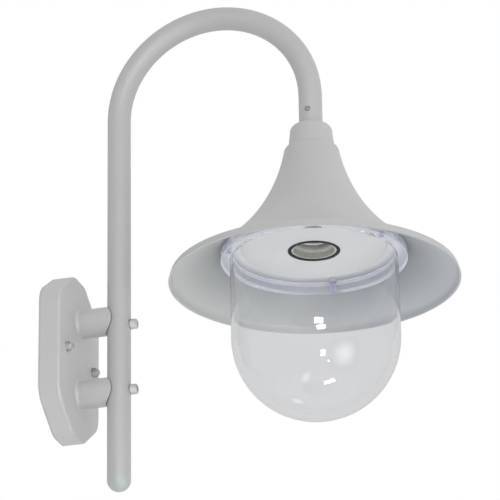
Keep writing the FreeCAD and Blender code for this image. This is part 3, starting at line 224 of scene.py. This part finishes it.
PAINT = 0.515
# The tube's and the plate's coats are the one white paint made darker and lighter: painted shade on the
# tube, painted light on the plate.
TUBE_PAINT_SHADED = PAINT * 0.94
PLATE_PAINT_LIT = PAINT * 1.05
PEEL_DEPTH = 0.06 * MM

# Painted shade in the joint, a dark line where the stubs meet the tube: its level against the paint's,
# where it begins to fade and where it has gone, out from the tube.
JOINT_LEVEL = 0.15
JOINT_LINE = (0.3 * MM, 1.3 * MM)

# Painted shade: the plate's paint grows darker and cooler towards its edge at +X, and the span says where
# across the plate it comes in.
PLATE_SHADING_TINT = (0.93, 0.94, 0.97, 1)
PLATE_SHADING_SPAN = (0.0, 45 * MM)

# How far a face turns down before it counts as the shade's inner face, which takes painted light and shade.
TURNED_DOWN = (-0.02, 0.03)

# Painted light and shade on the shade's inner face, as levels against its paint's: above the dome,
# darker beside the dome's collar and lighter at the rim. The spans say how far from the head's axis one
# gives way to the next.
INNER_TOP = 0.85
INNER_DARK = 0.7
INNER_LIGHT = 1.07
TOP_TO_DARK = (73 * MM, 80 * MM)
DARK_TO_LIGHT = (76 * MM, 118 * MM)

# Painted shade on the inner face: darker and cooler away from the wall, near neutral towards it, and how far
# on each side of the head's axis the one has given way to the other.
INNER_SHADING_AWAY = (0.87, 0.905, 0.95, 1)
INNER_SHADING_WALL = (0.98, 1.01, 0.99, 1)
INNER_SHADING_REACH = 120 * MM

# A light of the paint's own in the gap between the disc and the dome. Real paint has none: it makes
# up for a gap that otherwise comes out darker than in the photograph. The span is its fade outward.
GAP_GLOW = 0.38
GAP_FADE = (66 * MM, 73.5 * MM)


def joint_shade(finish):
    """Painted shade in the joint: 0 where the stubs meet the tube, rising to 1 at their outer surface."""
    return (finish.from_axis(TUBE) - TUBE_RADIUS).between(*JOINT_LINE)


def under_side(finish):
    """1 where a face looks down."""
    normal = finish.node("NewGeometry", out="Normal")
    down = 0 - finish.node("SeparateXYZ", values={0: normal}, out="Z")
    return down.between(*TURNED_DOWN)


def gap_glow(finish):
    """The paint's own light on the shade's inner face, above the gap."""
    gap = under_side(finish) * (1 - finish.from_axis(HEAD).between(*GAP_FADE))
    return finish.mix(gap, BLACK, grey(GAP_GLOW, warm=-0.01))


def inner_light_and_shade(finish, level, colour):
    """Painted light and shade on the shade's inner face: darker beside the dome's collar, and cooler away
    from the wall.
    """
    far = finish.from_axis(HEAD)
    dark = grey(level * INNER_DARK, warm=-0.01)
    light = grey(level * INNER_LIGHT, warm=-0.005)
    outer = finish.mix(far.between(*DARK_TO_LIGHT), dark, light)
    inner = finish.mix(far.between(*TOP_TO_DARK), grey(level * INNER_TOP, warm=-0.03), outer)
    towards_wall = (finish.part("Y") - HEAD.y).between(-INNER_SHADING_REACH, INNER_SHADING_REACH)
    tint = finish.mix(towards_wall, INNER_SHADING_AWAY, INNER_SHADING_WALL)
    return finish.mix(under_side(finish), colour, finish.tinted(1.0, inner, tint))


def make_paint(name, level=PAINT, roughness=0.46, plate_shading=False, inner=False):
    """White powder coat: a satin film with a fine orange peel and a little uneven gloss."""
    finish = Finish(name)
    cloud = finish.noise(18, detail=3.0)
    peel = finish.noise(900, detail=1.0)
    speck = finish.noise(2600, detail=1.0).between(0.72, 0.8)
    thin = grey(level * 0.985, warm=-0.004)
    full = grey(level * 1.01, warm=0.004)
    tone = finish.mix(cloud.between(0.35, 0.65), thin, full)
    colour = finish.mix(speck * 0.08, tone, grey(level * 0.7))
    glow = BLACK
    if plate_shading:
        # Painted shade in the stubs' joint, then painted shade darkening and cooling the plate towards its
        # edge at +X.
        colour = finish.mix(joint_shade(finish), grey(level * JOINT_LEVEL), colour)
        colour = finish.tinted(finish.part("X").between(*PLATE_SHADING_SPAN), colour, PLATE_SHADING_TINT)
    if inner:
        # Painted light and shade on the shade's inner face, and the paint's own glow in the gap.
        colour = inner_light_and_shade(finish, level, colour)
        glow = gap_glow(finish)
    return finish.surface(
        Base_Color=colour,
        Emission_Color=glow,
        Emission_Strength=1.0,
        Roughness=cloud * 0.08 + (roughness - 0.04),
        IOR=1.5,
        Normal=finish.bump(peel, PEEL_DEPTH, strength=0.35),
    )


def make_reflector_paint():
    """Smooth white enamel."""
    finish = Finish("reflector_enamel")
    cloud = finish.noise(25)
    return finish.surface(
        Base_Color=finish.mix(cloud.between(0.3, 0.7), grey(0.745), grey(0.785)),
        Roughness=cloud * 0.06 + 0.3,
        Normal=finish.bump(finish.noise(500), 0.04 * MM, strength=0.3),
    )


# Metals, plastics and porcelain

def make_metal(name, level, warm, roughness, lines, axis):
    """Turned or drawn metal: fine lines that run round one axis, and faint smears."""
    finish = Finish(name)
    along = 6
    shares = [along, along, along]
    shares["XYZ".index(axis)] = lines
    grain = finish.noise(60, detail=3.0, vector=finish.stretched(shares))
    smear = finish.noise(160, detail=3.0)
    return finish.surface(
        Base_Color=finish.mix(smear.between(0.35, 0.75), grey(level, warm), grey(level * 0.84, warm)),
        Metallic=1.0,
        Roughness=grain * 0.16 + smear * 0.1 + roughness,
        Normal=finish.bump(grain, 0.03 * MM, strength=0.4),
    )


ZINC_VIOLET = (0.2, 0.19, 0.66, 1)
ZINC_STEEL = (0.38, 0.4, 0.78, 1)


def make_blue_zinc():
    """Blue passivated zinc, whose tint drifts between violet and steel."""
    finish = Finish("blue_zinc")
    drift = finish.noise(260, detail=2.0)
    colour = finish.mix(drift.between(0.35, 0.65), ZINC_VIOLET, ZINC_STEEL)
    return finish.surface(Base_Color=colour, Metallic=1.0, Roughness=drift * 0.2 + 0.35)


def make_plastic(name, colour, roughness, grain=1200, depth=0.03 * MM, specular=0.5):
    """Moulded plastic or rubber with a fine surface and a little uneven gloss."""
    finish = Finish(name)
    cloud = finish.noise(40, detail=3.0)
    darker = tuple(value * 0.88 for value in colour[:3]) + (1,)
    return finish.surface(
        Base_Color=finish.mix(cloud.between(0.3, 0.7), darker, colour),
        Roughness=cloud * 0.12 + roughness,
        Specular_IOR_Level=specular,
        Normal=finish.bump(finish.noise(grain), depth, strength=0.4),
    )


# Where the painted shade inside the porcelain's mouth gives way to the glaze's own colour, out from the
# head's axis.
MOUTH_EDGE = (16.9 * MM, 17.2 * MM)
MOUTH_SHADING = (0.5, 0.51, 0.46, 1)


def make_porcelain():
    """Glazed porcelain, off-white, with a wet gloss and faint pits, and painted shade darkening the inside
    of its mouth.
    """
    finish = Finish("porcelain")
    cloud = finish.noise(70, detail=3.0)
    pits = finish.noise(900).between(0.66, 0.74)
    glazed = finish.mix(cloud.between(0.35, 0.7), grey(0.62, warm=0.01), grey(0.68, warm=0.012))
    # Painted shade: darker inside the mouth, out to MOUTH_EDGE.
    colour = finish.mix(finish.from_axis(HEAD).between(*MOUTH_EDGE), MOUTH_SHADING, glazed)
    return finish.surface(
        Base_Color=finish.mix(pits * 0.3, colour, grey(0.4, warm=0.03)),
        Roughness=cloud * 0.08 + 0.14,
        Coat_Weight=0.5,
        Coat_Roughness=0.05,
        Normal=finish.bump(cloud, 0.2 * MM, strength=0.25),
    )


EARTH_GREEN = (0.1, 0.32, 0.06, 1)
EARTH_YELLOW = (0.7, 0.62, 0.05, 1)


def make_earth_core():
    """Insulation striped green and yellow."""
    finish = Finish("earth_core")
    stripe = finish.node("TexWave", {"bands_direction": "DIAGONAL"},
                         {"Vector": finish.point(), "Scale": 90.0, "Distortion": 0.5})
    colour = finish.mix(stripe.between(0.45, 0.55), EARTH_GREEN, EARTH_YELLOW)
    return finish.surface(Base_Color=colour, Roughness=stripe * 0.05 + 0.4)


# The clear dome

# The index of refraction is chosen for the look of the photograph; acrylic's own is 1.49.
DOME_TINT = (0.972, 0.975, 0.982, 1)
DOME_IOR = 1.3
SHADOW_TINT = (0.97, 0.972, 0.978, 1)

# How milky the dome is in its body, in its collar, on the collar's outer wall, in its bores and along
# its edges, and the milk's colour.
# In the collar, on its outer wall and along its edges the milk is partly frosted acrylic and partly painted
# highlight, pale violet-white lines and glow.
HAZE_BODY = 0.025
COLLAR_HAZE_AND_HIGHLIGHT = 0.2
WALL_HAZE_AND_HIGHLIGHT = 0.42
HAZE_BORE = 0.5
EDGE_HAZE_AND_HIGHLIGHT = 0.85
HAZE_AND_HIGHLIGHT_TINT = (0.8, 0.81, 0.9, 1)

# How far inside the collar's faces its milky zones begin, and how softly.
ZONE_SOFTNESS = 0.1 * MM
COLLAR_INSET = 0.2 * MM
BORE_INSET = 0.4 * MM
BORE_WALL_INSET = 0.55 * MM
WALL_INSET = 0.075 * MM


def dome_haze_and_highlight(finish):
    """How milky the dome is: clear in its body but for faint smears, a little in its collar, more on
    the collar's outer wall and in its bores, and most along its moulded edges. In the collar, on its outer
    wall and along its edges the milk is partly painted highlight."""
    far = finish.from_axis(HEAD)
    up = finish.part("Z")
    top = DOME_HIGH.z
    collar = far.past(COLLAR_RADIUS - COLLAR_WIDTH + COLLAR_INSET, ZONE_SOFTNESS)
    outside = far.past(COLLAR_RADIUS - COLLAR_EDGE, ZONE_SOFTNESS)
    edge = outside * (1 - up.past(COLLAR_FOOT + COLLAR_EDGE, ZONE_SOFTNESS))
    bevel = (far.past(COLLAR_RADIUS - COLLAR_CHAMFER, ZONE_SOFTNESS)
             * up.past(top - COLLAR_CHAMFER, ZONE_SOFTNESS))
    bore = (collar * (1 - far.past(COLLAR_RADIUS - BORE_WALL_INSET, ZONE_SOFTNESS / 2))
            * up.past(COLLAR_FOOT + BORE_INSET, ZONE_SOFTNESS)
            * (1 - up.past(top - BORE_INSET, ZONE_SOFTNESS)))
    wall = far.past(COLLAR_RADIUS - WALL_INSET, ZONE_SOFTNESS / 4)
    smears = finish.noise(22, detail=4.0, roughness=0.6).between(0.45, 0.8) * HAZE_BODY
    haze = (collar * COLLAR_HAZE_AND_HIGHLIGHT).at_least(bore * HAZE_BORE).at_least(edge.at_least(bevel) * EDGE_HAZE_AND_HIGHLIGHT)
    return haze.at_least(wall * WALL_HAZE_AND_HIGHLIGHT).at_least(smears)


def make_clear():
    """Clear polished acrylic. Shadow rays and diffuse light pass straight through it, unbent."""
    finish = Finish("clear_acrylic")
    clear = finish.node("BsdfPrincipled", values={
        "Base Color": DOME_TINT,
        "Roughness": 0.0,
        "IOR": DOME_IOR,
        "Transmission Weight": 1.0,
    })
    shadow = finish.node("LightPath", out="Is Shadow Ray")
    diffuse = finish.node("LightPath", out="Is Diffuse Ray")
    straight = finish.node("BsdfTransparent", values={"Color": SHADOW_TINT})
    clean = finish.node("MixShader", values={0: shadow.at_least(diffuse), 1: clear, 2: straight})
    milk_and_highlight = finish.node("BsdfDiffuse", values={"Color": HAZE_AND_HIGHLIGHT_TINT})
    # Painted highlight in part: the pale violet-white milk brightens the collar and the dome's edges.
    return finish.finish_with(finish.node("MixShader", values={0: dome_haze_and_highlight(finish), 1: clean, 2: milk_and_highlight}))


# The looks of the record's slots, and of a few nodes of their own

MATERIALS = {
    "white_paint": make_paint("powder_coat"),
    "shade_paint_lit_and_shaded": make_paint("shade_powder_coat_lit_and_shaded", inner=True),
    "tube_paint_shaded": make_paint("tube_powder_coat_shaded", level=TUBE_PAINT_SHADED, roughness=0.58),
    "plate_paint_lit_and_shaded": make_paint("plate_powder_coat_lit_and_shaded", level=PLATE_PAINT_LIT, plate_shading=True),
    "white_plastic": make_plastic("plug_plastic", (0.455, 0.5, 0.49, 1), roughness=0.38),
    "reflector_white": make_reflector_paint(),
    "clear_plastic": make_clear(),
    "porcelain": make_porcelain(),
    "black_plastic": make_plastic("black_plastic", (0.018, 0.018, 0.019, 1), roughness=0.4),
    "black_rubber": make_plastic("black_rubber", (0.012, 0.012, 0.011, 1), roughness=0.6, specular=0.2),
    "grey_foam": make_plastic("foam", (0.5, 0.5, 0.49, 1), roughness=0.75, grain=700, depth=0.1 * MM),
    "dull_steel": make_metal("dull_steel", 0.34, warm=0.0, roughness=0.55, lines=60, axis="Y"),
    "stainless_steel": make_metal("stainless_steel", 0.62, warm=0.02, roughness=0.24, lines=90, axis="Y"),
    "nut_steel": make_metal("nut_steel", 0.4, warm=0.0, roughness=0.68, lines=60, axis="Y"),
    "zinc_steel": make_metal("zinc_steel", 0.5, warm=-0.02, roughness=0.3, lines=60, axis="X"),
    "blue_zinc": make_blue_zinc(),
    "brass": make_metal("brass", 0.6, warm=0.3, roughness=0.25, lines=60, axis="Z"),
    "nickel_brass": make_metal("nickel_brass", 0.5, warm=0.02, roughness=0.45, lines=120, axis="Z"),
    "natural_nylon": make_plastic("natural_nylon", (0.7, 0.68, 0.6, 1), roughness=0.45),
    "flex_sheath": make_plastic("flex_sheath", (0.62, 0.62, 0.6, 1), roughness=0.5),
    "brown_core": make_plastic("brown_core", (0.2, 0.085, 0.03, 1), roughness=0.4),
    "blue_core": make_plastic("blue_core", (0.04, 0.14, 0.5, 1), roughness=0.4),
    "green_core": make_earth_core(),
}


# Nodes whose look differs a little from that of their slot's other nodes.
OWN_LOOKS = {
    "wall_plate": "plate_paint_lit_and_shaded",
    "arm_tube": "tube_paint_shaded",
    "shade": "shade_paint_lit_and_shaded",
    "cap_nuts": "nut_steel",
    "neck_screw": "dull_steel",
    "arm_washers": "dull_steel",
}


def dress_nodes():
    """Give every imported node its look, which is its slot's in the record but for a few."""
    slots = {part["node"]: part["material_slot"] for part in frame["record"]["subparts"]}
    for name, thing in nodes.items():
        thing.data.materials.clear()
        slot = OWN_LOOKS.get(name, slots[name])
        thing.data.materials.append(MATERIALS[slot])


# The dome, turned again with a fine outline so that what shows through it isn't broken up

DOME_TURNS = 256
DOME_STEPS = 56
EDGE_STEPS = 5
HOLE_TURNS = 48
SMOOTH_ANGLE = math.radians(35)


def link(name, data):
    """A new object in the scene."""
    thing = bpy.data.objects.new(name, data)
    bpy.context.scene.collection.objects.link(thing)
    return thing


def arc(centre, radius, start, end, steps):
    """Points on an arc in the outline's plane, its angles in degrees."""
    points = []
    for step in range(steps + 1):
        angle = math.radians(start + (end - start) * step / steps)
        points.append((centre[0] + radius * math.cos(angle), centre[1] + radius * math.sin(angle)))
    return points


def dome_outline():
    """The dome's section as (distance from its axis, height), from its outer pole to its inner one."""
    outer = COLLAR_RADIUS - COLLAR_WIDTH
    inner = outer - DOME_WALL
    centre = DOME_LOW.z + outer
    top = DOME_HIGH.z
    foot = COLLAR_FOOT
    edge = COLLAR_EDGE
    return [
        *arc((0, centre), outer, -90, 0, DOME_STEPS),
        *arc((outer + edge, foot - edge), edge, 180, 90, EDGE_STEPS),
        *arc((COLLAR_RADIUS - edge, foot + edge), edge, -90, 0, EDGE_STEPS),
        (COLLAR_RADIUS, top - COLLAR_CHAMFER),
        (COLLAR_RADIUS - COLLAR_CHAMFER, top),
        *arc((inner + edge, top - edge), edge, 90, 180, EDGE_STEPS),
        *arc((0, centre), inner, 0, -90, DOME_STEPS),
    ]


def turned_mesh(name, outline, axis, turns):
    """A closed mesh turned from an outline that starts and ends on the axis."""
    shape = bmesh.new()
    rings = []
    for radius, height in outline[1:-1]:
        ring = []
        for turn in range(turns):
            angle = 2 * math.pi * turn / turns
            place = (axis.x + radius * math.cos(angle), axis.y + radius * math.sin(angle), height)
            ring.append(shape.verts.new(place))
        rings.append(ring)
    poles = [shape.verts.new((axis.x, axis.y, end[1])) for end in (outline[0], outline[-1])]
    for turn in range(turns):
        after = (turn + 1) % turns
        shape.faces.new((poles[0], rings[0][turn], rings[0][after]))
        shape.faces.new((poles[1], rings[-1][after], rings[-1][turn]))
        for lower, upper in zip(rings, rings[1:]):
            shape.faces.new((lower[turn], lower[after], upper[after], upper[turn]))
    bmesh.ops.recalc_face_normals(shape, faces=shape.faces)
    return finished_mesh(name, shape)


def post_mesh(name, place, radius, low, high):
    """A plain round cutter."""
    shape = bmesh.new()
    matrix = Matrix.Translation((place.x, place.y, (low + high) / 2))
    bmesh.ops.create_cone(shape, cap_ends=True, segments=HOLE_TURNS, radius1=radius, radius2=radius,
                          depth=high - low, matrix=matrix)
    return finished_mesh(name, shape)


def finished_mesh(name, shape):
    mesh = bpy.data.meshes.new(name)
    shape.to_mesh(mesh)
    shape.free()
    return mesh


def screw_places():
    """The middles of the dome's screws, which lie in equal sectors round it."""
    thing = nodes["dome_screws"]
    points = [thing.matrix_world @ corner.co for corner in thing.data.vertices]
    axis = middle("dome")
    sector = 360 / DOME_SCREWS
    groups = {}
    for point in points:
        angle = math.degrees(math.atan2(point.y - axis.y, point.x - axis.x)) % 360
        groups.setdefault(int(angle // sector), []).append(point)
    return [sum(group, Vector()) / len(group) for group in groups.values()]


def make_dome():
    axis = middle("dome")
    dome = link("clear_dome", turned_mesh("clear_dome", dome_outline(), axis, DOME_TURNS))
    seat = COLLAR_FOOT + RECESS_DEPTH
    cutters = []
    for place in screw_places():
        cutters.append(link("recess", post_mesh("recess", place, RECESS_RADIUS, COLLAR_FOOT - MM, seat)))
        cutters.append(link("hole", post_mesh("hole", place, HOLE_RADIUS, seat - MM, DOME_HIGH.z + MM)))
    for cutter in cutters:
        hole = dome.modifiers.new("hole", "BOOLEAN")
        hole.object = cutter
        hole.solver = "EXACT"
    whole = bpy.data.meshes.new_from_object(dome.evaluated_get(bpy.context.evaluated_depsgraph_get()))
    dome.modifiers.clear()
    dome.data = whole
    for cutter in cutters:
        bpy.data.objects.remove(cutter)
    whole.shade_smooth()
    whole.set_sharp_from_angle(angle=SMOOTH_ANGLE)
    whole.materials.append(MATERIALS["clear_plastic"])
    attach(dome, "dome")
    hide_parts("dome")


# The stage's light and white ground

# Which way the soft light comes from, its weakest and strongest level, and how far round the change
# from one to the other reaches.
BRIGHT_SIDE = (-0.2, -0.88, -0.1)
LIGHT_LOW = 0.56
LIGHT_HIGH = 1.13
LIGHT_SPREAD = 0.9

# How bright the white ground looks in soft gloss, and in sharp rays: through the clear dome or
# mirrored in it.
SEEN_IN_GLOSS = 0.8
SEEN_SHARP = 0.7


def as_seen(finish):
    """Whether a ray only looks, and how bright it finds the white ground: full to the camera, and
    less in gloss, through the dome and mirrored in it."""
    camera = finish.node("LightPath", out="Is Camera Ray")
    glossy = finish.node("LightPath", out="Is Glossy Ray")
    passing = finish.node("LightPath", out="Is Transmission Ray")
    sharp = finish.node("LightPath", out="Is Singular Ray")
    looking = glossy.at_least(passing)
    shown = camera.at_least(looking).at_least(sharp)
    level = camera.at_least(sharp * SEEN_SHARP).at_least(looking * (1 - sharp) * SEEN_IN_GLOSS)
    return shown, level


def make_world():
    """Plain light all round, brighter from in front of the lamp than from the wall, on a white ground."""
    world = bpy.data.worlds.new("studio")
    bpy.context.scene.world = world
    finish = Finish("studio", world)
    way = finish.node("TexCoord", out="Generated")
    side = finish.node("VectorMath", {"operation": "DOT_PRODUCT"}, {0: way, 1: BRIGHT_SIDE}, out="Value")
    light = side.past(0.0, LIGHT_SPREAD) * (LIGHT_HIGH - LIGHT_LOW) + LIGHT_LOW
    shown, level = as_seen(finish)
    strength = light * (1 - shown) + level
    finish.finish_with(finish.node("Background", values={"Color": WHITE, "Strength": strength}))


FLOOR = -2.9
FLOOR_REACH = 12.0
FLOOR_GLOW = 0.27


def square_mesh(name, reach, height):
    """A level square about the upright axis, from -reach to reach each way."""
    mesh = bpy.data.meshes.new(name)
    signs = ((-1, -1), (1, -1), (1, 1), (-1, 1))
    corners = [(across * reach, out * reach, height) for across, out in signs]
    mesh.from_pydata(corners, [], [(0, 1, 2, 3)])
    return mesh


def make_floor():
    """A wide pale floor well below the lamp."""
    mesh = square_mesh("floor", FLOOR_REACH, FLOOR)
    thing = link("floor", mesh)
    finish = Finish("pale_floor")
    shown, level = as_seen(finish)
    glow = finish.node("Emission", values={"Color": WHITE, "Strength": FLOOR_GLOW})
    matt = finish.node("AddShader", values={0: finish.node("BsdfDiffuse"), 1: glow})
    white = finish.node("Emission", values={"Color": WHITE, "Strength": level})
    mesh.materials.append(finish.finish_with(finish.node("MixShader", values={0: shown, 1: matt, 2: white})))


# What the dome's gloss shows: soft bright cards far from the lamp. Each has its direction from the
# dome's middle (degrees round from +X, degrees up), its width and height in metres, its roll in
# degrees, its strength and how soft its edge is.
CARDS = {
    "window": (198.2, 1.4, 0.57, 0.38, 4.0, 50.0, 0.12),
    "window_foot": (201.4, -7.6, 0.58, 0.3, -4.0, 50.0, 0.12),
    "side_window": (206.1, -41.1, 0.29, 0.43, -4.0, 50.0, 0.2),
    "spark": (218.1, -51.4, 0.09, 0.18, -11.0, 80.0, 0.3),
    "low_window": (263.4, -75.1, 0.6, 0.28, -76.0, 50.0, 0.2),
    "glow": (242.2, -36.7, 1.9, 1.9, -19.0, 11.0, 1.0),
    "low_streak": (149.8, -71.4, 0.6, 1.2, 63.0, 9.0, 1.0),
    "foot_streak": (44.8, -53.9, 0.7, 0.6, -15.0, 6.0, 1.0),
}
CARD_DISTANCE = 2.5


def make_card(name, turn, rise, width, height, roll, strength, softness):
    """A bright card that shows only in gloss. A fully soft one is round, any other a rectangle."""
    turn, rise = math.radians(turn), math.radians(rise)
    way = Vector((math.cos(rise) * math.cos(turn), math.cos(rise) * math.sin(turn), math.sin(rise)))
    mesh = square_mesh(name, 1, 0)
    card = link(name, mesh)
    card.scale = (width / 2, height / 2, 1)
    card.location = middle("dome") + way * CARD_DISTANCE
    facing = (-way).to_track_quat("Z", "Y").to_matrix()
    card.rotation_euler = (facing @ Matrix.Rotation(math.radians(roll), 3, "Z")).to_euler()
    finish = Finish(name)
    across, up = finish.part("X"), finish.part("Y")
    edge = (1 - across.size()).at_most(1 - up.size())
    if softness == 1:
        edge = 1 - (across * across + up * up) ** 0.5
    shine = finish.mix(edge.between(0.0, softness), BLACK, grey(strength))
    mesh.materials.append(finish.finish_with(finish.node("Emission", values={"Color": shine})))
    card.visible_camera = False
    card.visible_diffuse = False
    card.visible_transmission = False
    card.visible_shadow = False


# The photograph's camera: its place in metres, its angles in degrees and its focal length in pixels.
IMAGE_PIXELS = 500
SENSOR_WIDTH = 36.0
CAMERA_FOCAL_PIXELS = 3200
CAMERA_PLACE = Vector((-2.3265, -0.8197, -0.9250))
CAMERA_YAW = 74.28
CAMERA_PITCH = 22.55
CAMERA_ROLL = -0.94
CAMERA_SHIFT = -0.0007
CAMERA_REACH = 50


def make_camera():
    """A long lens from below and to the lamp's left."""
    camera = bpy.data.cameras.new("camera")
    camera.sensor_width = SENSOR_WIDTH
    camera.lens = CAMERA_FOCAL_PIXELS / IMAGE_PIXELS * SENSOR_WIDTH
    camera.shift_x = CAMERA_SHIFT
    camera.clip_end = CAMERA_REACH
    thing = link("camera", camera)
    turn = Euler((math.radians(90 + CAMERA_PITCH), 0, -math.radians(CAMERA_YAW)), "XYZ").to_matrix()
    roll = Matrix.Rotation(math.radians(CAMERA_ROLL), 3, "Z")
    thing.matrix_world = Matrix.Translation(CAMERA_PLACE) @ (turn @ roll).to_4x4()
    bpy.context.scene.camera = thing


bpy.context.scene.view_settings.view_transform = "Standard"
make_camera()
make_world()
make_floor()
for name, values in CARDS.items():
    make_card(name, *values)
dress_nodes()
make_dome()
